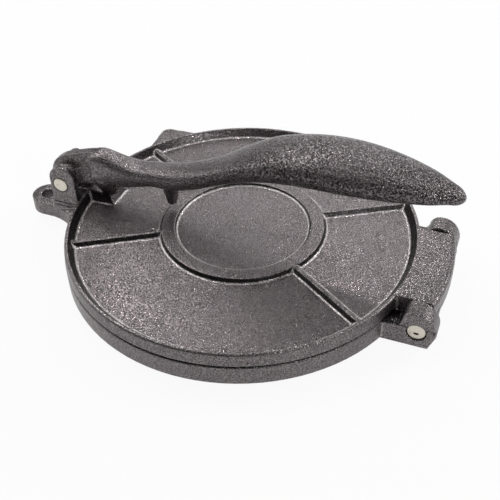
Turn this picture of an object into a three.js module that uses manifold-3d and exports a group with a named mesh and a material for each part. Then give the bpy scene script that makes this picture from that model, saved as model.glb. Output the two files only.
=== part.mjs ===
// A round cast tortilla press, closed, with its lever down. Lengths are millimetres and +Z is up.
// The origin lies on the table, at the middle of the press's length and width. The lever's pivot is
// on the -X side, the hinge of the upper plate is on the +X side, and the lever's grip reaches out
// over the hinge. Each piece is first placed from the plates' centre line, which is parallel to Z.

import * as THREE from 'three';
import { mergeVertices } from 'three/addons/utils/BufferGeometryUtils.js';
import Module from 'manifold-3d';

const wasm = await Module();
wasm.setup();

// Plates
const plateRadius = 100; // rim of the upper plate, at its top
const plateDraft = 0.7; // how far the upper plate's side leans out on its way down
const upperThickness = 8;
const baseThickness = 12.3;
const footHeight = 4.4;
const seamGap = 0.3; // between the two pressing faces
const edgeChamfer = 0.8;
const runningGap = 0.4; // between pieces that slide past each other
const pinGap = 0.3; // around a pin in its bore

// Upper plate's relief, each height measured down from its rim
const rimWidth = 2;
const pocketDepth = 4.9; // at the rim; the pockets' floors rise towards the ring
const pocketDepthAtRing = 3;
const wallSlope = 3.2; // how far the rim's inner wall leans in on its way down
const ringOuterRadius = 46;
const ringInnerRadius = 38.7;
const ringSlope = 1.5; // how far the ring's outer wall leans out on its way down
const ringDrop = 0.4;
const dishDepth = 1.7;
const dishSlope = 1;
const ribTopWidth = 1.6;
const ribEndDrop = 2.5; // of a rib's top where it meets the rim's wall
const ribAngles = [32.1, 146.7, 207.8, 328.3].map((degrees) => THREE.MathUtils.degToRad(degrees));
const ribLeanShare = 0.8; // how far a side of a rib or of the pad leans out, to its height
const padAngle = THREE.MathUtils.degToRad(177.7);
const padLength = 16.7; // of the raised pad that the lever's nose bears on, in from the rim
const padHalfWidth = 5.2;

// Lifting tab at the back of the upper plate
const tabAngle = THREE.MathUtils.degToRad(137.6);
const tabLength = 15.5; // out from the rim
const tabTipHalfWidth = 5.5;
const tabRootHalfWidth = 20;
const tabDrop = 3; // of its top below the rim

// Hinge
const hingePinOut = 9.5; // from the rim out to the pin's centre
const hingePinDrop = 11.1; // below the rim of the upper plate
const hingePinRadius = 5;
const hingePinRecess = 0.5; // of each end in its lug
const flangeHalfLength = 29;
const flangeLength = 19.5; // out from the rim
const flangeRoll = 2.6; // radius of the flange's upper outer edge
const barrelWall = 3.5; // of the flange round its pin
const flangeGap = 1.1; // between each end of the flange and its lug
const plateClearance = 0.5; // between the upper plate's edge and what stands beside it
const lugThickness = 10.9;
const lugWall = 10.4; // from the pin's centre to the lug's outer side
const lugRise = 12.4; // from the pin's centre to the lug's top
const lugBackWall = 7.6; // from the pin's centre to the side that faces the plate, at its top
const lugFootWall = 9.3; // the same at the lug's foot
const backLugShift = 2.4; // the lug at the back stands this much nearer the plates
const lugCornerRadius = 4;
const backLugCornerRadius = 6.5;
const lugToeInset = 3.6; // how far the lug's outer side leans in on its way down

// Base
const skirtWidth = 9;
const baseWeb = 5.4; // thickness of the base over its hollow underside
const footRadius = 8;
const footDraft = 1.2;
const footInset = 14; // from the rim in to the middle of a foot
const feet = 4;

// Tongue with its hanging hole
const holeOut = 29.3; // from the rim out to the hole's centre
const holeRadius = 4;
const tongueHalfWidth = 9.6;
const tongueDrop = 11.4; // of its top below the rim
const tongueFlare = 29; // radius of the sweep from the tongue into the base

// Fork that holds the lever
const leverPinOut = 10.3; // from the rim out to the pin's centre
const leverPinRise = 7.4; // above the rim of the upper plate
const leverPinRadius = 4.6;
const leverPinProud = 0.4; // of each end past its ear
const earHalfSpan = 11.4; // to the ears' outer faces
const earThickness = 4;
const earWidth = 16.6;
const earTopRise = 12; // from the pin's centre to the ear's top
const earBackWall = 6.8; // from the pin's centre to the ear's outer side
const saddleDrop = 5.3; // of the block under the ears, below the rim
const saddleLedge = 0.9; // of the block past the ears' outer faces
const saddleFootHalf = 20; // half width of the block's foot at the plates' edge
const slotDrop = 7.4; // of the floor between the ears, below the rim

// Lever
const shoulderInset = 9; // from the rim in to where the arm's full width starts
const gripOverhang = 19.7; // of the grip's end past the rim on the hinge side
const gripRise = 52.8; // of the grip's middle above the rim
const gripHalfThickness = 10.2;
const gripHalfWidth = 20;
const hubRadius = 8.5;
const humpRise = 23.1; // top of the hub's ridge above the pin, where it joins the arm
const ridgeHalfWidth = 2.5;
const scoopHalfWidth = 4; // where the sides between ridge and hub change their slope
const scoopShare = 0.24; // of the ridge's outline there, the rest being the hub's
const neckDrop = 1.2; // of the underside between hub and nose, below the pin
const noseInset = 14.5; // from the rim in to the nose's middle
const noseHalfLength = 4.5;
const noseHalfWidth = 1.9;
const noseRootHalfLength = 9.6;
const noseRootShift = 1.9; // of the root's middle from the tip's, towards the grip
const noseRootHalfWidth = 7.4;
const noseRootRise = 11; // above the rim
const noseBellyShare = 2 / 3; // of the nose's widening that is done halfway up
const pegInset = 56.5; // from the rim in to the peg's middle
const pegTipRadius = 2.7;
const pegRootRadius = 5.8;
const pegTipRise = 3.6; // above the rim
const pegRootRise = 18;

// Heights above the table
const baseTop = footHeight + baseThickness;
const rimTop = baseTop + seamGap + upperThickness;
const tongueTop = rimTop - tongueDrop;
const saddleTop = rimTop - saddleDrop;
const hingePinHeight = rimTop - hingePinDrop;
const leverPinHeight = rimTop + leverPinRise;

// Distances from the plates' centre
const seamRadius = plateRadius + plateDraft;
const passRadius = seamRadius + plateClearance; // what stands beside the upper plate stays outside this
const hingePinReach = plateRadius + hingePinOut;
const flangeReach = plateRadius + flangeLength;
const tabReach = plateRadius + tabLength;
const padReach = plateRadius - padLength;
const footReach = plateRadius - footInset;
const holeReach = plateRadius + holeOut;
const leverPinReach = plateRadius + leverPinOut;
const shoulderReach = plateRadius - shoulderInset;
const noseReach = plateRadius - noseInset;
const pegReach = plateRadius - pegInset;
const leverTipReach = plateRadius + gripOverhang;
const tongueReach = holeReach + tongueHalfWidth;
const lugReach = hingePinReach + lugWall;

// Fineness of the round surfaces
const roundSteps = 96;
const arcSteps = 10;
const smallSteps = 28;
const ringPoints = 24;
const overrun = 2 * edgeChamfer; // how far a cut passes the faces it goes through

// A closed geometry as a solid
function solid(geometry) {
  const bare = geometry.clone();
  bare.deleteAttribute('normal');
  bare.deleteAttribute('uv');
  const merged = mergeVertices(bare);
  const corners = merged.index.array;
  const kept = [];
  for (let i = 0; i < corners.length; i += 3) {
    const [a, b, c] = [corners[i], corners[i + 1], corners[i + 2]];
    if (a !== b && b !== c && c !== a) kept.push(a, b, c);
  }
  return new wasm.Manifold(new wasm.Mesh({
    numProp: 3,
    vertProperties: new Float32Array(merged.attributes.position.array),
    triVerts: new Uint32Array(kept),
  }));
}

// A solid as a geometry for a mesh
function geometryOf(body) {
  const { numProp, vertProperties, triVerts } = body.getMesh();
  const positions = new Float32Array((vertProperties.length / numProp) * 3);
  for (let i = 0; i < positions.length / 3; i += 1) {
    positions.set(vertProperties.subarray(i * numProp, i * numProp + 3), i * 3);
  }
  const geometry = new THREE.BufferGeometry();
  geometry.setAttribute('position', new THREE.BufferAttribute(positions, 3));
  geometry.setIndex(new THREE.BufferAttribute(new Uint32Array(triVerts), 1));
  geometry.computeVertexNormals();
  return geometry;
}

function union(bodies) {
  return bodies.reduce((whole, body) => whole.add(body));
}

// A solid turned round the Z axis from [radius, height] points
function turned(points, steps = roundSteps) {
  const profile = points.map(([radius, height]) => new THREE.Vector2(radius, height));
  return solid(new THREE.LatheGeometry(profile, steps).rotateX(Math.PI / 2));
}

function upright(radius, low, high, steps = smallSteps) {
  return turned([[0, low], [radius, low], [radius, high], [0, high]], steps);
}

// A plan outline raised from one height to another
function raised(shape, low, high) {
  const options = { depth: high - low, bevelEnabled: false, curveSegments: arcSteps };
  return solid(new THREE.ExtrudeGeometry(shape, options).translate(0, 0, low));
}

// An outline in the XZ plane drawn out along Y
function drawn(shape, near, far) {
  const options = { depth: far - near, bevelEnabled: false, curveSegments: arcSteps };
  const geometry = new THREE.ExtrudeGeometry(shape, options);
  return solid(geometry.rotateX(Math.PI / 2).translate(0, far, 0));
}

function crossBore(radius, halfLength, x, z) {
  const geometry = new THREE.CylinderGeometry(radius, radius, 2 * halfLength, smallSteps);
  return solid(geometry.translate(x, 0, z));
}

function shapeOf(points) {
  return new THREE.Shape(points.map(([x, y]) => new THREE.Vector2(x, y)));
}

function arc(centreX, centreY, radiusX, radiusY, from, to, steps = arcSteps) {
  const points = [];
  for (let i = 0; i <= steps; i += 1) {
    const angle = from + (to - from) * (i / steps);
    points.push([centreX + radiusX * Math.cos(angle), centreY + radiusY * Math.sin(angle)]);
  }
  return points;
}

// A skin over rings of equal point counts, closed at both ends by a fan
function lofted(rings) {
  const count = rings[0].length;
  const positions = rings.flat().flatMap((point) => point.toArray());
  const corners = [];
  for (let r = 0; r + 1 < rings.length; r += 1) {
    for (let i = 0; i < count; i += 1) {
      const [a, b] = [r * count + i, r * count + ((i + 1) % count)];
      corners.push(a, b, b + count, a, b + count, a + count);
    }
  }
  [[0, 1], [rings.length - 1, -1]].forEach(([ring, turn]) => {
    const middle = new THREE.Vector3();
    rings[ring].forEach((point) => middle.addScaledVector(point, 1 / count));
    const hub = positions.length / 3;
    positions.push(...middle.toArray());
    for (let i = 0; i < count; i += 1) {
      const [a, b] = [ring * count + i, ring * count + ((i + 1) % count)];
      if (turn > 0) corners.push(hub, b, a);
      else corners.push(hub, a, b);
    }
  });
  const geometry = new THREE.BufferGeometry();
  geometry.setAttribute('position', new THREE.Float32BufferAttribute(positions, 3));
  geometry.setIndex(corners);
  return solid(geometry);
}

// One value of hand-placed stations, read with a smooth curve through them
function reader(stations, name) {
  const curve = new THREE.CatmullRomCurve3(
    stations.map((station) => new THREE.Vector3(station[name], 0, 0)),
    false,
    'catmullrom',
  );
  return (share) => curve.getPoint(share).x;
}

// Base: pressing plate, lugs, tongue, fork and feet in one casting

function basePlate() {
  const hollowTop = baseTop - baseWeb;
  const skirtInner = seamRadius - skirtWidth;
  return turned([
    [0, hollowTop],
    [skirtInner - edgeChamfer, hollowTop],
    [skirtInner, footHeight],
    [seamRadius - edgeChamfer, footHeight],
    [seamRadius, footHeight + edgeChamfer],
    [seamRadius, baseTop - edgeChamfer],
    [seamRadius - edgeChamfer, baseTop],
    [0, baseTop],
  ]);
}

function foot(index) {
  const angle = (2 * Math.PI * (index + 1 / 2)) / feet;
  const body = turned([
    [0, 0],
    [footRadius, 0],
    [footRadius + footDraft, baseTop - baseWeb / 2],
    [0, baseTop - baseWeb / 2],
  ], smallSteps);
  return body.translate([footReach * Math.cos(angle), footReach * Math.sin(angle), 0]);
}

function lug(side) {
  const middleX = hingePinReach - (side > 0 ? backLugShift : 0);
  const corner = side > 0 ? backLugCornerRadius : lugCornerRadius;
  const backX = middleX - lugBackWall;
  const topZ = hingePinHeight + lugRise;
  const outerY = flangeHalfLength + flangeGap + lugThickness;
  const rootX = Math.sqrt(seamRadius ** 2 - outerY ** 2) - skirtWidth / 2;
  const outline = shapeOf([
    [rootX, footHeight],
    [middleX + lugWall - lugToeInset, footHeight],
    ...arc(middleX, hingePinHeight, lugWall, lugRise, 0, Math.PI / 2),
    ...arc(backX + corner, topZ - corner, corner, corner, Math.PI / 2, Math.PI),
    [middleX - lugFootWall, baseTop],
    [rootX, baseTop],
  ]);
  const near = flangeHalfLength + flangeGap;
  const far = near + lugThickness;
  return side > 0 ? drawn(outline, near, far) : drawn(outline, -far, -near);
}

function tonguePlan() {
  const flareX = -Math.sqrt((seamRadius + tongueFlare) ** 2 - (tongueHalfWidth + tongueFlare) ** 2);
  const flareY = tongueHalfWidth + tongueFlare;
  const meeting = Math.atan2(-flareY, -flareX);
  const lower = arc(flareX, flareY, tongueFlare, tongueFlare, meeting, -Math.PI / 2);
  const upper = lower.map(([x, y]) => [x, -y]).reverse();
  const tip = arc(-holeReach, 0, tongueHalfWidth, tongueHalfWidth, Math.PI / 2, 1.5 * Math.PI, 2 * arcSteps);
  return shapeOf([...lower, ...tip, ...upper]);
}

function tongue() {
  const plate = raised(tonguePlan(), footHeight, tongueTop);
  return plate.subtract(upright(holeRadius, 0, rimTop).translate([-holeReach, 0, 0]));
}

// The block under the ears, which spreads into the tongue and the base at its foot
function saddle() {
  const outerX = -(leverPinReach + earBackWall);
  const innerX = -plateRadius + skirtWidth;
  const levels = [
    [footHeight + baseThickness / 2, outerX - edgeChamfer, tongueHalfWidth, saddleFootHalf],
    [tongueTop, outerX - edgeChamfer, tongueHalfWidth, saddleFootHalf],
    [saddleTop, outerX, earHalfSpan + saddleLedge, earHalfSpan + saddleLedge],
  ];
  const rings = levels.map(([z, x, outerHalf, innerHalf]) => [
    [x, -outerHalf],
    [innerX, -innerHalf],
    [innerX, innerHalf],
    [x, outerHalf],
  ].map(([px, py]) => new THREE.Vector3(px, py, z)));
  return lofted(rings);
}

function ear(side) {
  const outerX = -(leverPinReach + earBackWall);
  const radius = earWidth / 2;
  const centreX = outerX + radius;
  const centreZ = leverPinHeight + earTopRise - radius;
  const outline = shapeOf([
    [outerX, tongueTop],
    [outerX + earWidth, tongueTop],
    ...arc(centreX, centreZ, radius, radius, 0, Math.PI, 2 * arcSteps),
  ]);
  const [near, far] = [earHalfSpan - earThickness, earHalfSpan];
  return side > 0 ? drawn(outline, near, far) : drawn(outline, -far, -near);
}

function baseBody() {
  const slotHalf = earHalfSpan - earThickness;
  const slotZ = rimTop - slotDrop;
  const slotX = leverPinReach + earBackWall + overrun;
  const slot = raised(shapeOf([
    [-slotX, -slotHalf],
    [-plateRadius, -slotHalf],
    [-plateRadius, slotHalf],
    [-slotX, slotHalf],
  ]), slotZ, rimTop);
  const passage = upright(passRadius, baseTop, leverPinHeight + earTopRise + overrun, roundSteps);
  const fork = union([saddle(), ear(1), ear(-1)]).subtract(slot).subtract(passage);
  const feetBodies = Array.from({ length: feet }, (_, index) => foot(index));
  const whole = union([basePlate(), tongue(), fork, lug(1), lug(-1), ...feetBodies]);
  const lugSpan = flangeHalfLength + flangeGap + lugThickness + overrun;
  return whole
    .subtract(crossBore(hingePinRadius + pinGap, lugSpan, hingePinReach, hingePinHeight))
    .subtract(crossBore(leverPinRadius + pinGap, earHalfSpan + overrun, -leverPinReach, leverPinHeight));
}

// Upper plate: pressing plate with its cast relief, flange and tab. Its z is measured from its rim.

function upperDisc() {
  const rimInner = plateRadius - rimWidth;
  return turned([
    [0, -upperThickness],
    [seamRadius - edgeChamfer, -upperThickness],
    [seamRadius, -upperThickness + edgeChamfer],
    [plateRadius, -edgeChamfer],
    [plateRadius - edgeChamfer, 0],
    [rimInner, 0],
    [rimInner - wallSlope, -pocketDepth],
    [ringOuterRadius + ringSlope, -pocketDepthAtRing],
    [ringOuterRadius, -ringDrop],
    [ringInnerRadius, -ringDrop],
    [ringInnerRadius - dishSlope, -ringDrop - dishDepth],
    [0, -ringDrop - dishDepth],
  ]);
}

// A raised bar with leaning sides that runs along +X from one radius to the rim's wall
function slopedBar(from, fromTop, toTop, halfTop, endLean) {
  const foot = -(upperThickness + pocketDepth) / 2;
  const to = plateRadius - rimWidth;
  const spread = (top) => halfTop + ribLeanShare * (top - foot);
  const lowFrom = from - endLean * (fromTop - foot);
  const ring = (near, nearHalf, nearZ, farHalf, farZ) => [
    new THREE.Vector3(near, -nearHalf, nearZ),
    new THREE.Vector3(to, -farHalf, farZ),
    new THREE.Vector3(to, farHalf, farZ),
    new THREE.Vector3(near, nearHalf, nearZ),
  ];
  return lofted([
    ring(lowFrom, spread(fromTop), foot, spread(toTop), foot),
    ring(from, halfTop, fromTop, halfTop, toTop),
  ]);
}

function spunAbout(body, angle) {
  return body.rotate([0, 0, THREE.MathUtils.radToDeg(angle)]);
}

function ribs() {
  const rib = slopedBar(ringOuterRadius, -ringDrop, -ribEndDrop, ribTopWidth / 2, 0);
  return ribAngles.map((angle) => spunAbout(rib, angle));
}

function pad() {
  return spunAbout(slopedBar(padReach, 0, 0, padHalfWidth, ribLeanShare), padAngle);
}

function tab() {
  const rootX = plateRadius - rimWidth;
  const tipX = tabReach - tabTipHalfWidth;
  const flank = Math.hypot(tipX - rootX, tabRootHalfWidth);
  const touch = Math.atan2(tipX - rootX, tabRootHalfWidth) + Math.asin(tabTipHalfWidth / flank);
  const outline = shapeOf([
    [rootX, -tabRootHalfWidth],
    ...arc(tipX, 0, tabTipHalfWidth, tabTipHalfWidth, -touch, touch),
    [rootX, tabRootHalfWidth],
  ]);
  return spunAbout(raised(outline, -upperThickness + edgeChamfer, -tabDrop), tabAngle);
}

function flange() {
  const innerRadius = plateRadius - rimWidth;
  const rollReach = flangeReach - flangeRoll;
  const barrelRadius = hingePinRadius + barrelWall;
  const ring = turned([
    [innerRadius, -upperThickness],
    [passRadius, -upperThickness],
    [passRadius, -hingePinDrop],
    [hingePinReach, -hingePinDrop],
    ...arc(hingePinReach, -hingePinDrop, flangeReach - hingePinReach, barrelRadius, -Math.PI / 2, 0),
    ...arc(rollReach, -flangeRoll, flangeRoll, flangeRoll, 0, Math.PI / 2),
    [innerRadius, 0],
    [innerRadius, -upperThickness],
  ]);
  const window = shapeOf([
    [plateRadius / 2, -flangeHalfLength],
    [flangeReach + overrun, -flangeHalfLength],
    [flangeReach + overrun, flangeHalfLength],
    [plateRadius / 2, flangeHalfLength],
  ]);
  const sector = ring.intersect(raised(window, -hingePinDrop - 2 * barrelRadius, overrun));
  return sector.add(crossBore(barrelRadius, flangeHalfLength, hingePinReach, -hingePinDrop));
}

function upperBody() {
  return union([upperDisc(), ...ribs(), pad(), tab(), flange()])
    .subtract(crossBore(hingePinRadius + pinGap, flangeHalfLength + overrun, hingePinReach, -hingePinDrop));
}

// Lever: hub, arm, grip, nose and peg in one casting. Its origin is its pin.

// Each station gives shares of the arm's length, the grip's rise, its half thickness and half width,
// and how square the section is
const armShares = [
  { along: 0, rise: 0.36, thick: 0.96, wide: 0.36, square: 3.4 },
  { along: 0.03, rise: 0.365, thick: 1.04, wide: 0.38, square: 3.1 },
  { along: 0.08, rise: 0.345, thick: 0.9, wide: 0.4, square: 2.8 },
  { along: 0.13, rise: 0.36, thick: 0.67, wide: 0.41, square: 2.7 },
  { along: 0.18, rise: 0.4, thick: 0.59, wide: 0.41, square: 2.6 },
  { along: 0.24, rise: 0.43, thick: 0.63, wide: 0.46, square: 2.6 },
  { along: 0.3, rise: 0.5, thick: 0.66, wide: 0.5, square: 2.6 },
  { along: 0.37, rise: 0.63, thick: 0.66, wide: 0.55, square: 2.5 },
  { along: 0.44, rise: 0.78, thick: 0.78, wide: 0.69, square: 2.4 },
  { along: 0.51, rise: 0.9, thick: 0.87, wide: 0.84, square: 2.4 },
  { along: 0.58, rise: 0.965, thick: 0.94, wide: 0.93, square: 2.3 },
  { along: 0.65, rise: 0.995, thick: 0.99, wide: 1, square: 2.2 },
  { along: 0.72, rise: 1, thick: 1, wide: 1, square: 2.2 },
  { along: 0.79, rise: 0.99, thick: 0.94, wide: 0.92, square: 2.2 },
  { along: 0.86, rise: 0.97, thick: 0.8, wide: 0.77, square: 2.2 },
  { along: 0.92, rise: 0.945, thick: 0.63, wide: 0.59, square: 2.1 },
  { along: 0.96, rise: 0.925, thick: 0.45, wide: 0.39, square: 2.1 },
  { along: 1, rise: 0.895, thick: 0.3, wide: 0.24, square: 2 },
];
const armSteps = 46;
const tipShare = 0.035; // of the way along the stations, where the arm's end rounds off
const tipSteps = 5;

// A height above the rim, seen from the lever's pin
function overRim(rise) {
  return rise - leverPinRise;
}

// One ring of the arm, square to the X axis
function armRing(x, z, halfThickness, halfWidth, square) {
  const ring = [];
  for (let i = 0; i < ringPoints; i += 1) {
    const angle = (2 * Math.PI * i) / ringPoints;
    const [c, s] = [Math.cos(angle), Math.sin(angle)];
    const y = halfWidth * Math.sign(c) * Math.abs(c) ** (2 / square);
    const up = halfThickness * Math.sign(s) * Math.abs(s) ** (2 / square);
    ring.push(new THREE.Vector3(x, y, z + up));
  }
  return ring;
}

function arm() {
  const read = {};
  Object.keys(armShares[0]).forEach((name) => {
    read[name] = reader(armShares, name);
  });
  const startX = leverPinReach - shoulderReach;
  const length = shoulderReach + leverTipReach;
  const rings = [];
  const addRing = (share, fullness) => rings.push(armRing(
    startX + length * read.along(share),
    overRim(gripRise * read.rise(share)),
    gripHalfThickness * read.thick(share) * fullness,
    gripHalfWidth * read.wide(share) * fullness,
    read.square(share),
  ));
  for (let i = 0; i <= armSteps; i += 1) addRing(((1 - tipShare) * i) / armSteps, 1);
  for (let i = 1; i <= tipSteps; i += 1) {
    const angle = (Math.PI / 2) * (i / (tipSteps + 1 / 2));
    addRing(1 - tipShare * (1 - Math.sin(angle)), Math.cos(angle));
  }
  return lofted(rings);
}

// The back of the hub's ridge from the arm round behind the pin, in shares of the hump's height
const ridgeShares = [
  { along: 0.62, up: 0.89 },
  { along: 0.21, up: 0.75 },
  { along: -0.01, up: 0.665 },
  { along: -0.17, up: 0.565 },
  { along: -0.27, up: 0.48 },
  { along: -0.34, up: 0.39 },
  { along: -0.395, up: 0.28 },
  { along: -0.425, up: 0.18 },
  { along: -0.43, up: 0.02 },
  { along: -0.4, up: -0.12 },
  { along: -0.31, up: -0.26 },
  { along: -0.16, up: -0.36 },
  { along: 0, up: -0.39 },
  { along: 0.2, up: -0.32 },
  { along: 0.33, up: -0.2 },
  { along: 0.41, up: -0.052 },
];

// The hub's round sides and the ridge between them, joined by scooped slopes
function hub() {
  const neckX = leverPinReach - shoulderReach + noseHalfLength;
  const outline = [
    [neckX, -neckDrop],
    [neckX, (humpRise - neckDrop) / 2],
    [neckX, humpRise],
    ...ridgeShares.map(({ along, up }) => [along * humpRise, up * humpRise]),
  ];
  const round = outline.map(([x, z]) => {
    const angle = Math.atan2(z, x);
    return [hubRadius * Math.cos(angle), hubRadius * Math.sin(angle)];
  });
  const outer = earHalfSpan - earThickness - runningGap;
  const levels = [[outer, 0], [scoopHalfWidth, scoopShare], [ridgeHalfWidth, 1]];
  const sides = [...levels, ...levels.map(([y, share]) => [-y, share]).reverse()];
  return lofted(sides.map(([y, share]) => outline.map(([x, z], index) => new THREE.Vector3(
    share * x + (1 - share) * round[index][0],
    y,
    share * z + (1 - share) * round[index][1],
  ))));
}

// An upright form through oval levels of [height, half length, half width, shift along X]
function ovalTower(levels, x) {
  const rings = levels.map(([z, halfLength, halfWidth, shift = 0]) => {
    const ring = [];
    for (let i = 0; i < ringPoints; i += 1) {
      const angle = (2 * Math.PI * i) / ringPoints;
      const along = x + shift + halfLength * Math.cos(angle);
      ring.push(new THREE.Vector3(along, halfWidth * Math.sin(angle), z));
    }
    return ring;
  });
  return lofted(rings);
}

function nose() {
  const tip = overRim(seamGap);
  const root = overRim(noseRootRise);
  const middle = (tip + root) / 2;
  return ovalTower([
    [tip, noseHalfLength, noseHalfWidth],
    [
      middle,
      noseHalfLength + noseBellyShare * (noseRootHalfLength - noseHalfLength),
      (noseHalfWidth + noseRootHalfWidth) / 2,
      noseRootShift / 2,
    ],
    [root, noseRootHalfLength, noseRootHalfWidth, noseRootShift],
    [root + noseHalfLength, noseRootHalfLength, noseRootHalfWidth, noseRootShift],
  ], leverPinReach - noseReach);
}

function peg() {
  return ovalTower([
    [overRim(pegTipRise), pegTipRadius, pegTipRadius],
    [overRim(pegRootRise), pegRootRadius, pegRootRadius],
  ], leverPinReach - pegReach);
}

function leverBody() {
  return union([arm(), hub(), nose(), peg()])
    .subtract(crossBore(leverPinRadius + pinGap, earHalfSpan, 0, 0));
}

// A round pin along Y with broken edges
function pinBody(radius, halfLength) {
  const body = turned([
    [0, -halfLength],
    [radius - edgeChamfer, -halfLength],
    [radius, -halfLength + edgeChamfer],
    [radius, halfLength - edgeChamfer],
    [radius - edgeChamfer, halfLength],
    [0, halfLength],
  ], smallSteps);
  return body.rotate([90, 0, 0]);
}

const enamel = { color: 0x4b4a4d, roughness: 0.42, metalness: 0.55 };
const nickel = { color: 0xcfc6b4, roughness: 0.3, metalness: 0.95 };

function piece(name, body, finish, x, z) {
  const mesh = new THREE.Mesh(geometryOf(body), new THREE.MeshStandardMaterial(finish));
  mesh.name = name;
  mesh.position.set(x, 0, z);
  return mesh;
}

const hingePinHalf = flangeHalfLength + flangeGap + lugThickness - hingePinRecess;

const press = new THREE.Group();
press.add(
  piece('base', baseBody(), enamel, 0, 0),
  piece('upper_plate', upperBody(), enamel, 0, rimTop),
  piece('lever', leverBody(), enamel, -leverPinReach, leverPinHeight),
  piece('hinge_pin', pinBody(hingePinRadius, hingePinHalf), nickel, hingePinReach, hingePinHeight),
  piece('lever_pin', pinBody(leverPinRadius, earHalfSpan + leverPinProud), nickel,
    -leverPinReach, leverPinHeight),
);

press.position.x = (tongueReach - lugReach) / 2;

export default press;
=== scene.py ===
"""A round cast tortilla press on a pale floor: castings in hammered enamel, and two bright pins."""

import math

import bmesh
import bpy
import numpy as np
from bpy.props import FloatProperty, FloatVectorProperty, IntProperty, PointerProperty
from bpy.types import Operator, Panel, PropertyGroup
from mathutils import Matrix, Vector


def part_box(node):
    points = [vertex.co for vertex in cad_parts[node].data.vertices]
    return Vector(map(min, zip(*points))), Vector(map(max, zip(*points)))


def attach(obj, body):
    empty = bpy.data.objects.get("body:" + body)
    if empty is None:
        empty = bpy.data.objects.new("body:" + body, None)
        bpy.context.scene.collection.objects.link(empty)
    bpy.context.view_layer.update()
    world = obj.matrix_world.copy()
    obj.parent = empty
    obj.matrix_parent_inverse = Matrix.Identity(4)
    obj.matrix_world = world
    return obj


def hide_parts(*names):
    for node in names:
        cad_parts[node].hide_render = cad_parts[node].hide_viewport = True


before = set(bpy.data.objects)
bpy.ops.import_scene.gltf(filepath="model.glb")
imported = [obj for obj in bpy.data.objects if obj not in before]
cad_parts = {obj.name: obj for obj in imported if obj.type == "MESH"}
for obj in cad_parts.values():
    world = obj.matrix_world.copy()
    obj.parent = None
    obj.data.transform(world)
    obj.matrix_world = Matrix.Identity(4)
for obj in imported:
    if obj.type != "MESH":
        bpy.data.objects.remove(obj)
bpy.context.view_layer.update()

bl_info = {
    "name": "Tortilla press",
    "version": (1, 0, 0),
    "blender": (4, 5, 0),
    "location": "3D View > Sidebar > Press",
    "description": "Dresses a cast tortilla press in hammered enamel and bright pins",
    "category": "Object",
}

HINGE_LOW, HINGE_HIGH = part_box("hinge_pin")
LEVER_LOW, LEVER_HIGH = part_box("lever_pin")
WHITE = (1, 1, 1, 1)
ALMOST_NOTHING = 1e-12  # added to a length that something is divided by


def length(name, default, description):
    """A size in metres."""
    return FloatProperty(
        name=name, description=description, default=default, unit="LENGTH", precision=5
    )


def number(name, default, description):
    """A plain number."""
    return FloatProperty(name=name, description=description, default=default, precision=4)


def count(name, default, description, least=0):
    """A whole number."""
    return IntProperty(name=name, description=description, default=default, min=least)


def share(name, default, description):
    """A number from 0 to 1."""
    return FloatProperty(name=name, description=description, default=default, min=0.0, max=1.0)


def limits(name, default, description):
    """Two numbers: where something starts and where it is full."""
    return FloatVectorProperty(
        name=name, description=description, default=default, size=2, precision=4
    )


def colour(name, default, description):
    """A linear colour."""
    return FloatVectorProperty(
        name=name, description=description, default=default, size=3, subtype="COLOR", min=0, max=1
    )


class CastingSettings(PropertyGroup):
    """How the castings are finished."""

    grain: length("Grain", 0.0005, "Distance between the points of a casting's surface")
    fillet_passes: count("Fillet passes", 3, "Rounds of smoothing over every edge")
    fillet_share: share("Fillet share", 0.5, "How far a point moves in one round")
    most_faces: count("Most faces", 190000, "Triangles that a casting may have")
    # Scale of the measure that places the painted highlight lines along edges and inner corners.
    bend: number("Bend", 9.0, "How strongly edges and inner corners are marked")
    bend_passes: count("Bend passes", 2, "Rounds of smoothing over those marks")
    weld: length("Weld", 1e-6, "Distance over which the points of a casting are joined")


class ShadeSettings(PropertyGroup):
    """Where the two plates get painted shade: their relief's walls, the pad under the lever's nose
    and the seam.
    """

    middle: length("Middle", 0.0095, "Place of the plates' centre along the press")
    inside: length("Inside", 0.0985, "Reach of the plates' relief from that centre")
    # Painted shade darkens the relief's steep walls.
    wall: limits("Wall", (0.9, 0.7), "Upright part of the normal, from flat to a dark wall")
    # Painted shade in the gap along the seam between the plates.
    seam: length("Seam", 0.01685, "Height of the seam between the plates")
    seam_half: length("Seam half", 0.0006, "Half width of the dark line along the seam")
    # A painted shadow of the lever's nose lies on the pad's top.
    pad: length("Pad", -0.0735, "Inner end of the pad that the lever's nose bears on")
    pad_half: length("Pad half", 0.007, "Half width of the pad's foot")
    pad_dark: share("Pad dark", 0.6, "How dark the pad's top is")
    # The painted shade is mostly left off the part of the rim's far wall that the lamps light.
    far_y: limits("Far, across", (0.05, 0.07), "Where the bright part of the rim's wall starts")
    far_x: limits("Far, along", (0.04, 0.02), "The same along the press")
    far_out: limits("Far, out", (0.085, 0.09), "The same out from the plates' centre")
    far_light: share("Far light", 0.9, "How much of the dark is missing there")


class PinSettings(PropertyGroup):
    """The turned pins."""

    steps: count("Steps", 96, "Faces round a pin", 12)
    edge_steps: count("Edge steps", 5, "Faces over a pin's broken edge", 1)
    face_steps: count("Face steps", 25, "Rings over a pin's end", 2)
    edge: length("Edge", 0.0007, "Width of the broken edge at a pin's end")
    crown: length("Crown", 0.00025, "How far a pin's end stands up at its middle")
    slot_length: length("Slot length", 0.0017, "Half length of the mark in the hinge pin's end")
    slot_width: length("Slot width", 0.0008, "Half width of the mark")
    slot_drop: length("Slot drop", 0.0008, "How far the mark lies below the pin's middle")
    slot_depth: length("Slot depth", 0.0006, "Depth of the mark")
    slot_dark: number("Slot dark", 2.0, "How steeply the mark darkens towards its middle")
    weld: length("Weld", 1e-7, "Distance over which the points of a pin are joined")


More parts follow.
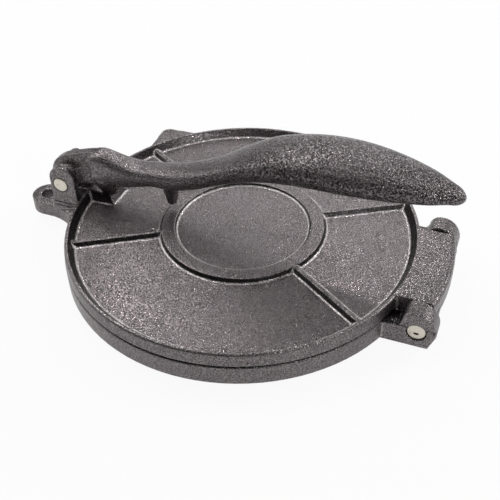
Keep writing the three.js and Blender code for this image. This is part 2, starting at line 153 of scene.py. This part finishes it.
class FinishSettings(PropertyGroup):
    """Colours and textures."""

    enamel: colour("Enamel", (0.29, 0.258, 0.264), "Raised part of the hammered enamel")
    pit: colour("Pit", (0.012, 0.009, 0.010), "Bottom of the enamel's pits")
    # Colour of the painted highlight lines along edges and inner corners.
    painted_glint: colour("Worn edge", (0.75, 0.70, 0.70), "Thin enamel along the edges")
    nickel: colour("Nickel", (0.76, 0.71, 0.62), "Plated pin ends")
    tarnish: colour("Tarnish", (0.34, 0.28, 0.20), "Stains on the plating")
    # Dark colour at the bottom of the mark in the hinge pin's end, darker towards its middle.
    mark_dark: colour("Soot", (0.03, 0.025, 0.02), "Bottom of the mark in a pin's end")
    hammer: length("Hammer mark", 0.00095, "Size of one mark in the lever's enamel")
    fine: share("Fine", 0.65, "Size of the plates' marks, as a share of the lever's")
    soft: share("Soft", 0.1, "How much weaker the plates' marks are")
    calm: share("Calm", 0.4, "How much weaker the marks are at the lever's hub")
    grip: limits("Grip", (-0.05, 0.02), "Where the grip's marks start and are full, along X")
    sparse: share("Sparse", 0.08, "How much fewer raised spots the grip has")
    wander: share("Wander", 0.6, "Size of a mark, as a share of the bends that it follows")
    smooth: share("Smooth", 0.55, "How far the marks run into each other")
    raised: limits("Raised", (0.22, 0.6), "Where the raised enamel starts and is full in a mark")
    bright: limits("Bright", (0.42, 0.66), "Where a fleck starts to be bright, and is")
    # Where the painted highlight lines along edges and inner corners start, and how light they are.
    edge: limits("Edge", (0.45, 0.8), "Bend at which an edge starts to be light, and is")
    edge_light: share("Edge light", 0.4, "How light an edge is")
    corner: limits("Corner", (0.2, 0.5), "The same for an inner corner")
    spark: share("Spark", 0.4, "How much the flecks break up the light lines")
    speckle: share("Speckle", 0.25, "How much the flecks break up the raised enamel")
    cloud: limits("Cloud", (0.3, 0.7), "Where a cloud of lighter enamel starts and is full")
    cloud_light: share("Cloud light", 0.15, "How light a cloud is")
    # Strength of the painted shade on the plates' relief walls, the pad and the seam.
    dark: share("Dark", 0.85, "How dark the enamel is on the relief's walls")
    fleck_relief: share("Fleck relief", 0.2, "The flecks' part of the relief")
    bump: share("Bump", 0.9, "Strength of the relief")
    fleck: length("Fleck", 0.0006, "Size of one bright or dark fleck in the enamel")
    relief: length("Relief", 0.0003, "Depth of the lever's hammer marks")
    flat: share("Flat", 0.6, "Depth of the plates' marks, as a share of the lever's")
    drift: length("Drift", 0.03, "Size of the cloudy changes over the enamel")
    shine: share("Roughness", 0.14, "Roughness of the enamel in a bright fleck")
    dull: share("Dull", 0.16, "How much rougher it is in a dark fleck")
    coat: share("Coat", 0.15, "Clear coat over the raised enamel")
    coat_rough: share("Coat roughness", 0.25, "Roughness of the clear coat")
    flake: share("Flake", 0.9, "Share of metal flake in the enamel")
    # Strength of the painted highlight lines on the base and the lever; the plates have them at
    # full strength.
    lines: share("Lines", 0.45, "How light the enamel is along the base's and the lever's edges")
    stains: number("Stains", 420.0, "Stains on the plating in a metre")
    stained: limits("Stained", (0.5, 0.75), "Where a stain starts and is full")
    stain: share("Stain", 0.45, "How strong a stain is")
    scratches: number("Scratches", 2600.0, "Turning marks in a metre")
    scratch: share("Scratch", 0.25, "Strength of the turning marks")
    metal: share("Metal", 0.85, "Share of bare metal in the plating")
    satin: share("Satin", 0.3, "Roughness of the plating")
    stain_rough: share("Stain roughness", 0.25, "How much rougher a stain is")


class StageSettings(PropertyGroup):
    """Camera, floor and lamps."""

    eye: FloatVectorProperty(
        name="Eye", description="Place of the camera", size=3, unit="LENGTH",
        default=(0.149, -0.33501, 0.32067), precision=5,
    )
    turn: FloatVectorProperty(
        name="Turn", description="Direction of the camera", size=3, subtype="EULER",
        default=tuple(math.radians(a) for a in (49.7875, 0.2581, 19.7073)), precision=5,
    )
    lens: number("Lens", 59.332, "Focal length in millimetres")
    sensor: number("Sensor", 36.0, "Width of the camera's sensor in millimetres")
    shift: FloatVectorProperty(
        name="Shift", description="Shift of the lens, as shares of the frame", size=2,
        default=(-0.04597, -0.02593), precision=5,
    )
    clip: FloatVectorProperty(
        name="Clip", description="Nearest and farthest that the camera sees", size=2,
        unit="LENGTH", default=(0.01, 50.0),
    )
    floor: share("Floor", 0.95, "How white the floor is")
    floor_half: length("Floor half", 6.0, "Half width of the floor")
    floor_cells: count("Floor cells", 8, "Faces along a side of the floor", 1)
    floor_drop: length("Floor drop", 0.0002, "How far the floor lies below the feet")
    glow: share("Glow", 0.93, "How much of the floor's white doesn't depend on the lamps")
    mirror: share("Mirror", 0.55, "How white the floor is in the press's reflections")
    sheet: limits("Sheet", (0.3, 0.6), "Radii over which that white fades out")
    sky: share("Sky", 0.045, "Light that comes from all round")
    lamp: number("Lamp", 3.0, "Power of a lamp with a share of 1, in watts")
    aim: FloatVectorProperty(
        name="Aim", description="Where the lamps point", size=3, unit="LENGTH",
        default=(0.0, 0.0, 0.03), precision=5,
    )


# Shader maths


class Value:
    """A node's output. Arithmetic on it adds Math nodes."""

    def __init__(self, graph, socket):
        self.graph = graph
        self.socket = socket

    def maths(self, operation, *operands):
        return self.graph.node("Math", {"operation": operation}, dict(enumerate(operands)))

    def __add__(self, other):
        return self.maths("ADD", self, other)

    def __radd__(self, other):
        return self.maths("ADD", other, self)

    def __sub__(self, other):
        return self.maths("SUBTRACT", self, other)

    def __rsub__(self, other):
        return self.maths("SUBTRACT", other, self)

    def __mul__(self, other):
        return self.maths("MULTIPLY", self, other)

    def __rmul__(self, other):
        return self.maths("MULTIPLY", other, self)

    def larger(self, other):
        return self.maths("MAXIMUM", self, other)

    def ramp(self, low, high):
        """0 up to low, 1 from high on, and smooth between them."""
        settings = {"interpolation_type": "SMOOTHSTEP"}
        return self.graph.node(
            "MapRange", settings, {"Value": self, "From Min": low, "From Max": high}, "Result"
        )


class Graph:
    """The nodes of one material or world."""

    def __init__(self, owner):
        owner.use_nodes = True
        self.tree = owner.node_tree
        self.tree.nodes.clear()

    def node(self, kind, settings, inputs, output=0):
        """One node: its settings first, then the values or links of its sockets."""
        made = self.tree.nodes.new("ShaderNode" + kind)
        for name, value in settings.items():
            setattr(made, name, value)
        for name, value in inputs.items():
            if isinstance(value, Value):
                self.tree.links.new(value.socket, made.inputs[name])
            else:
                made.inputs[name].default_value = value
        if output is None:
            return made
        return Value(self, made.outputs[output])

    def point(self, name):
        """The number of that name that a mesh keeps for each of its points."""
        return self.node("Attribute", {"attribute_name": name}, {}, "Fac")

    def mix(self, factor, first, second):
        """A colour between two others."""
        a = first if isinstance(first, Value) else (*first, 1)
        b = second if isinstance(second, Value) else (*second, 1)
        return self.node("Mix", {"data_type": "RGBA"}, {0: factor, 6: a, 7: b}, 2)

    def noise(self, place, scale, detail, output=0):
        """Cloudy noise with that many waves in a metre, and finer ones in so many octaves."""
        return self.node(
            "TexNoise", {}, {"Vector": place, "Scale": scale, "Detail": detail}, output
        )

    def surface(self, shader, kind="OutputMaterial"):
        """Makes that shader the result."""
        self.node(kind, {}, {"Surface": shader}, None)


def enamel(name, mark, relief, lines, on_lever=False):
    """Dark grey hammered enamel, with painted highlights on edges and inner corners, and painted
    shade.
    """
    finish = bpy.context.scene.press_finish
    graph = Graph(bpy.data.materials.new(name))
    place = graph.node("TexCoord", {}, {}, "Object")
    clouds = graph.noise(place, 1 / finish.drift, 3.0)
    flecks = graph.noise(place, 1 / finish.fleck, 2.0)
    wander = graph.noise(place, finish.wander / mark, 1.0, "Color")
    bent = graph.node(
        "VectorMath", {"operation": "MULTIPLY_ADD"},
        {0: wander, 1: (mark,) * 3, 2: place}, "Vector",
    )
    cells = graph.node(
        "TexVoronoi", {"feature": "SMOOTH_F1"},
        {"Vector": bent, "Scale": 1 / mark, "Smoothness": finish.smooth}, "Distance",
    )
    soft = finish.soft
    if on_lever:
        grip = graph.node("SeparateXYZ", {}, {0: place}, 0).ramp(*finish.grip)
        soft = finish.calm * (1 - grip)
        cells = cells - finish.sparse * grip
    raised = soft + (1 - soft) * cells.ramp(*finish.raised)
    bright = flecks.ramp(*finish.bright)
    # Painted highlight lines along edges and in inner corners, broken up by the flecks.
    edge = graph.point("edge").ramp(*finish.edge) * finish.edge_light
    light = edge.larger(graph.point("crease").ramp(*finish.corner))
    painted_glint = light * (1 - finish.spark + finish.spark * bright) * lines
    spots = raised * (1 - finish.speckle + finish.speckle * bright)
    skin = graph.mix(spots, finish.pit, finish.enamel)
    skin = graph.mix(clouds.ramp(*finish.cloud) * finish.cloud_light, skin, finish.enamel)
    # Painted shade: the plates' relief walls, the pad under the lever's nose and the seam take the
    # pits' dark colour.
    skin = graph.mix(graph.point("painted_shade") * finish.dark, skin, finish.pit)
    skin = graph.mix(painted_glint, skin, finish.painted_glint)
    height = raised * (1 - finish.fleck_relief) + bright * finish.fleck_relief
    hammered = graph.node(
        "Bump", {}, {"Strength": finish.bump, "Distance": relief, "Height": height}
    )
    graph.surface(graph.node("BsdfPrincipled", {}, {
        "Base Color": skin,
        "Metallic": finish.flake,
        "Roughness": finish.shine + finish.dull * (1 - bright),
        "Normal": hammered,
        "Coat Weight": finish.coat * raised,
        "Coat Roughness": finish.coat_rough,
    }))


def nickel():
    """Bright, slightly warm plating with turning marks and a few stains."""
    finish = bpy.context.scene.press_finish
    graph = Graph(bpy.data.materials.new("plated_nickel"))
    place = graph.node("TexCoord", {}, {}, "Object")
    scratches = graph.noise(place, finish.scratches, 2.0)
    stain = graph.noise(place, finish.stains, 4.0).ramp(*finish.stained) * finish.stain
    skin = graph.mix(stain, finish.nickel, finish.tarnish)
    # The mark in the hinge pin's end is darker towards its middle.
    skin = graph.mix(graph.point("hollow"), skin, finish.mark_dark)
    turned = graph.node("Bump", {}, {
        "Strength": finish.scratch, "Distance": finish.relief, "Height": scratches,
    })
    graph.surface(graph.node("BsdfPrincipled", {}, {
        "Base Color": skin,
        "Metallic": finish.metal,
        "Roughness": finish.satin + finish.stain_rough * stain,
        "Normal": turned,
    }))


def paper():
    """White floor that glows for the camera and in reflections, and still takes a shadow."""
    stage = bpy.context.scene.press_stage
    material = bpy.data.materials.new("white_floor")
    graph = Graph(material)
    camera = graph.node("LightPath", {}, {}, "Is Camera Ray")
    glossy = graph.node("LightPath", {}, {}, "Is Glossy Ray")
    place = graph.node("TexCoord", {}, {}, "Object")
    away = graph.node("VectorMath", {"operation": "LENGTH"}, {0: place}, "Value")
    near = 1 - away.ramp(*stage.sheet)
    seen = (camera * stage.glow).larger(glossy * near * stage.mirror)
    lit = graph.node("BsdfDiffuse", {}, {"Color": (stage.floor,) * 3 + (1,)})
    glow = graph.node("Emission", {}, {"Color": WHITE, "Strength": 1.0})
    graph.surface(graph.node("MixShader", {}, {0: seen, 1: lit, 2: glow}))
    return material


# Meshes


def weld(mesh, distance):
    """Joins points that lie on each other, so that the mesh is closed."""
    form = bmesh.new()
    form.from_mesh(mesh)
    bmesh.ops.remove_doubles(form, verts=form.verts, dist=distance)
    bmesh.ops.recalc_face_normals(form, faces=form.faces)
    form.to_mesh(mesh)
    form.free()


def placed(name, mesh):
    """An object of that mesh in the scene."""
    piece = bpy.data.objects.new(name, mesh)
    bpy.context.scene.collection.objects.link(piece)
    return piece


def settled(piece):
    """Applies all the modifiers of a piece."""
    bpy.context.view_layer.update()
    seen = piece.evaluated_get(bpy.context.evaluated_depsgraph_get())
    mesh = bpy.data.meshes.new_from_object(seen)
    piece.modifiers.clear()
    old = piece.data
    piece.data = mesh
    bpy.data.meshes.remove(old)


def vectors(mesh, name):
    """The places or the normals of a mesh's points."""
    numbers = np.empty(len(mesh.vertices) * 3)
    mesh.vertices.foreach_get(name, numbers)
    return numbers.reshape(-1, 3)


def bulge(mesh, passes):
    """For each point, how far the surface turns away from it: above 0 on an edge."""
    total, met = np.zeros(len(mesh.vertices)), np.zeros(len(mesh.vertices))
    points, normals = vectors(mesh, "co"), vectors(mesh, "normal")
    ends = np.empty(len(mesh.edges) * 2, np.int64)
    mesh.edges.foreach_get("vertices", ends)
    a, b = ends.reshape(-1, 2).T
    step = points[b] - points[a]
    span = np.linalg.norm(step, axis=1) + ALMOST_NOTHING
    for here, way in ((a, 1.0), (b, -1.0)):
        fall = -way * np.einsum("ij,ij->i", step, normals[here]) / span
        np.add.at(total, here, fall)
        np.add.at(met, here, 1)
    rise = total / np.maximum(met, 1)
    for _ in range(passes):
        spread = rise.copy()
        np.add.at(spread, a, rise[b])
        np.add.at(spread, b, rise[a])
        rise = spread / (met + 1)
    return rise


def fade(numbers, start, full):
    """0 up to start, 1 from full on, and straight between them, for a whole array."""
    return np.clip((numbers - start) / (full - start), 0, 1)


def shade(mesh):
    """For each point of a plate, its painted shade: on the relief's walls, the pad and the seam."""
    dark = bpy.context.scene.press_shade
    points, normals = vectors(mesh, "co"), vectors(mesh, "normal")
    x, y, z = points.T
    out = np.hypot(x - dark.middle, y)
    # Painted shade on the relief's steep walls, mostly left off the part of the rim's far wall that
    # the lamps light.
    far = fade(y, *dark.far_y) * fade(x, *dark.far_x) * fade(out, *dark.far_out)
    wall = fade(np.abs(normals[:, 2]), *dark.wall) * (1 - dark.far_light * far)
    # A painted shadow of the lever's nose on the pad's top.
    pad = (x < dark.pad) & (np.abs(y) < dark.pad_half)
    # Painted shade along the seam between the plates, outside the relief.
    near_seam = np.abs(z - dark.seam) < dark.seam_half
    return np.where(out < dark.inside, np.maximum(wall, dark.pad_dark * pad), near_seam)


def keep_number(mesh, name, values):
    """Stores one number for each point, for a material to read."""
    attribute = mesh.attributes.new(name, "FLOAT", "POINT")
    attribute.data.foreach_set("value", values.astype(np.float32))


def casting(node, body, finish):
    """A node as it leaves the mould: fine, with every edge rounded, in enamel."""
    settings = bpy.context.scene.press_castings
    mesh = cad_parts[node].data.copy()
    mesh.materials.clear()
    weld(mesh, settings.weld)
    piece = placed("cast_" + node, mesh)
    grain = piece.modifiers.new("grain", "REMESH")
    grain.mode = "VOXEL"
    grain.voxel_size = settings.grain
    soft = piece.modifiers.new("fillets", "SMOOTH")
    soft.factor = settings.fillet_share
    soft.iterations = settings.fillet_passes
    settled(piece)
    triangles = 2 * len(piece.data.polygons)
    if triangles > settings.most_faces:
        fewer = piece.modifiers.new("fewer", "DECIMATE")
        fewer.ratio = settings.most_faces / triangles
        settled(piece)
    # Measures of edges and inner corners, which place the painted highlight lines in the enamel.
    rise = bulge(piece.data, settings.bend_passes) * settings.bend
    keep_number(piece.data, "edge", np.clip(rise, 0, 1))
    keep_number(piece.data, "crease", np.clip(-rise, 0, 1))
    # The plates get painted shade on their relief walls, a painted shadow on the pad and painted
    # shade along the seam.
    if node != "lever":
        keep_number(piece.data, "painted_shade", shade(piece.data))
    piece.data.shade_smooth()
    piece.data.materials.append(bpy.data.materials[finish])
    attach(piece, body)
    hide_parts(node)


def turned_pin(node, body, low, high, slotted):
    """A pin along Y, turned from bar, with broken edges, crowned ends and, if slotted, a mark."""
    settings = bpy.context.scene.press_pins
    centre = (low + high) / 2
    radius = (high.x - low.x) / 2
    half = (high.y - low.y) / 2
    steps, edge = settings.steps, settings.edge
    face = half - settings.crown
    profile = [(radius, 0.0), (radius, face - edge)]
    for i in range(1, settings.edge_steps + 1):
        angle = math.pi / 2 * i / settings.edge_steps
        profile.append((radius - edge * (1 - math.cos(angle)), face - edge * (1 - math.sin(angle))))
    flat = radius - edge
    for i in range(1, settings.face_steps):
        across = flat * (1 - i / settings.face_steps)
        profile.append((across, face + settings.crown * (1 - (across / flat) ** 2)))
    form = bmesh.new()
    hollows = []

    def point(across, along, turn, side):
        x, z = across * math.cos(turn), across * math.sin(turn)
        along_slot = x / settings.slot_length
        over_slot = (z + settings.slot_drop) / settings.slot_width
        hollow = max(0.0, 1 - along_slot ** 2 - over_slot ** 2) if slotted else 0.0
        hollows.append(min(1.0, settings.slot_dark * hollow))
        y = side * (along - settings.slot_depth * hollow)
        return form.verts.new((centre.x + x, centre.y + y, centre.z + z))

    for side in (1, -1):
        rings = [
            [point(across, along, math.tau * k / steps, side) for k in range(steps)]
            for across, along in profile
        ]
        tip = point(0.0, half, 0.0, side)
        for inner, outer in zip(rings[1:], rings):
            for k in range(steps):
                n = (k + 1) % steps
                form.faces.new((outer[k], outer[n], inner[n], inner[k]))
        for k in range(steps):
            form.faces.new((rings[-1][k], rings[-1][(k + 1) % steps], tip))
    mesh = bpy.data.meshes.new(node)
    form.to_mesh(mesh)
    form.free()
    keep_number(mesh, "hollow", np.array(hollows))
    weld(mesh, settings.weld)
    piece = placed("turned_" + node, mesh)
    piece.data.shade_smooth()
    piece.data.materials.append(bpy.data.materials["plated_nickel"])
    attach(piece, body)
    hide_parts(node)


class PRESS_OT_finishes(Operator):
    """Makes the enamel and the plating"""

    bl_idname = "press.finishes"
    bl_label = "Finishes"

    def execute(self, context):
        finish = context.scene.press_finish
        small, shallow = finish.hammer * finish.fine, finish.relief * finish.flat
        enamel("base_enamel", small, shallow, finish.lines)
        enamel("plate_enamel", small, shallow, 1.0)
        enamel("lever_enamel", finish.hammer, finish.relief, finish.lines, on_lever=True)
        nickel()
        return {"FINISHED"}


class PRESS_OT_base(Operator):
    """Casts the base with its fork, tongue and lugs"""

    bl_idname = "press.base"
    bl_label = "Base casting"

    def execute(self, context):
        casting("base", "base", "base_enamel")
        return {"FINISHED"}


class PRESS_OT_upper_plate(Operator):
    """Casts the upper plate with its relief, flange and tab"""

    bl_idname = "press.upper_plate"
    bl_label = "Upper plate casting"

    def execute(self, context):
        casting("upper_plate", "upper_plate", "plate_enamel")
        return {"FINISHED"}


class PRESS_OT_lever(Operator):
    """Casts the lever with its boss, nose and grip"""

    bl_idname = "press.lever"
    bl_label = "Lever casting"

    def execute(self, context):
        casting("lever", "lever", "lever_enamel")
        return {"FINISHED"}


class PRESS_OT_pins(Operator):
    """Turns the hinge pin and the lever pin"""

    bl_idname = "press.pins"
    bl_label = "Pins"

    def execute(self, context):
        turned_pin("hinge_pin", "base", HINGE_LOW, HINGE_HIGH, True)
        turned_pin("lever_pin", "base", LEVER_LOW, LEVER_HIGH, False)
        return {"FINISHED"}


LAMPS = (  # name, place, size, and share of the power
    ("back_left", (-0.5, 0.52, 0.78), 0.08, 0.16),
    ("back_spot", (0.0, 0.62, 0.72), 0.04, 0.11),
    ("back", (-0.2, 1.0, 0.7), 1.0, 1.2),
    ("back_low", (0.0, 1.2, 0.4), 0.7, 0.22),
    ("right_back", (0.8, 0.5, 0.6), 0.5, 1.5),
    ("right_front", (0.72, -0.52, 0.6), 0.06, 0.5),
    ("left", (-0.9, 0.0, 0.5), 0.5, 0.6),
    ("left_high", (-0.55, 0.0, 0.98), 0.5, 0.75),
    ("grip_left", (-0.35, 0.3, 0.88), 0.03, 0.28),
    ("grip_right", (0.1, 0.3, 0.95), 0.03, 0.16),
)


def lamp(name, place, target, size, power):
    """A soft square lamp that faces the target."""
    light = bpy.data.lights.new(name, "AREA")
    light.shape = "SQUARE"
    light.size = size
    light.energy = power
    holder = bpy.data.objects.new(name, light)
    holder.location = place
    holder.rotation_mode = "QUATERNION"
    holder.rotation_quaternion = (Vector(target) - Vector(place)).to_track_quat("-Z", "Y")
    bpy.context.scene.collection.objects.link(holder)


class PRESS_OT_stage(Operator):
    """Sets the camera, the floor, the sky and the lamps"""

    bl_idname = "press.stage"
    bl_label = "Stage"

    def execute(self, context):
        stage = context.scene.press_stage
        eye = bpy.data.cameras.new("eye")
        eye.sensor_width = stage.sensor
        eye.lens = stage.lens
        eye.shift_x, eye.shift_y = stage.shift
        eye.clip_start, eye.clip_end = stage.clip
        camera = bpy.data.objects.new("eye", eye)
        camera.location = stage.eye
        camera.rotation_euler = stage.turn
        context.scene.collection.objects.link(camera)
        context.scene.camera = camera

        form = bmesh.new()
        cells = stage.floor_cells
        bmesh.ops.create_grid(form, x_segments=cells, y_segments=cells, size=stage.floor_half)
        mesh = bpy.data.meshes.new("floor")
        form.to_mesh(mesh)
        form.free()
        mesh.materials.append(paper())
        floor = placed("floor", mesh)
        floor.location.z = -stage.floor_drop

        world = bpy.data.worlds.new("sky")
        context.scene.world = world
        graph = Graph(world)
        seen = graph.node("LightPath", {}, {}, "Is Camera Ray")
        glow = seen + (1 - seen) * stage.sky
        back = graph.node("Background", {}, {"Color": WHITE, "Strength": glow})
        graph.surface(back, "OutputWorld")

        for name, place, size, part in LAMPS:
            lamp(name, place, stage.aim, size, part * stage.lamp)
        context.scene.view_settings.view_transform = "Standard"
        return {"FINISHED"}


OPERATORS = (
    PRESS_OT_finishes,
    PRESS_OT_base,
    PRESS_OT_upper_plate,
    PRESS_OT_lever,
    PRESS_OT_pins,
    PRESS_OT_stage,
)
GROUPS = {
    "press_castings": CastingSettings,
    "press_shade": ShadeSettings,
    "press_pins": PinSettings,
    "press_finish": FinishSettings,
    "press_stage": StageSettings,
}


class PRESS_PT_panel(Panel):
    """Lists the press's settings and steps"""

    bl_label = "Tortilla press"
    bl_idname = "PRESS_PT_panel"
    bl_space_type = "VIEW_3D"
    bl_region_type = "UI"
    bl_category = "Press"

    def draw(self, context):
        for name, group in GROUPS.items():
            box = self.layout.box()
            for prop in group.__annotations__:
                box.prop(getattr(context.scene, name), prop)
        for operator in OPERATORS:
            self.layout.operator(operator.bl_idname)


def register():
    for group in GROUPS.values():
        bpy.utils.register_class(group)
    for operator in OPERATORS:
        bpy.utils.register_class(operator)
    bpy.utils.register_class(PRESS_PT_panel)
    for name, group in GROUPS.items():
        setattr(bpy.types.Scene, name, PointerProperty(type=group))


def unregister():
    for name in GROUPS:
        delattr(bpy.types.Scene, name)
    bpy.utils.unregister_class(PRESS_PT_panel)
    for operator in reversed(OPERATORS):
        bpy.utils.unregister_class(operator)
    for group in reversed(list(GROUPS.values())):
        bpy.utils.unregister_class(group)


def main():
    register()
    for operator in OPERATORS:
        family, step = operator.bl_idname.split(".")
        getattr(getattr(bpy.ops, family), step)()


if __name__ == "__main__":
    main()
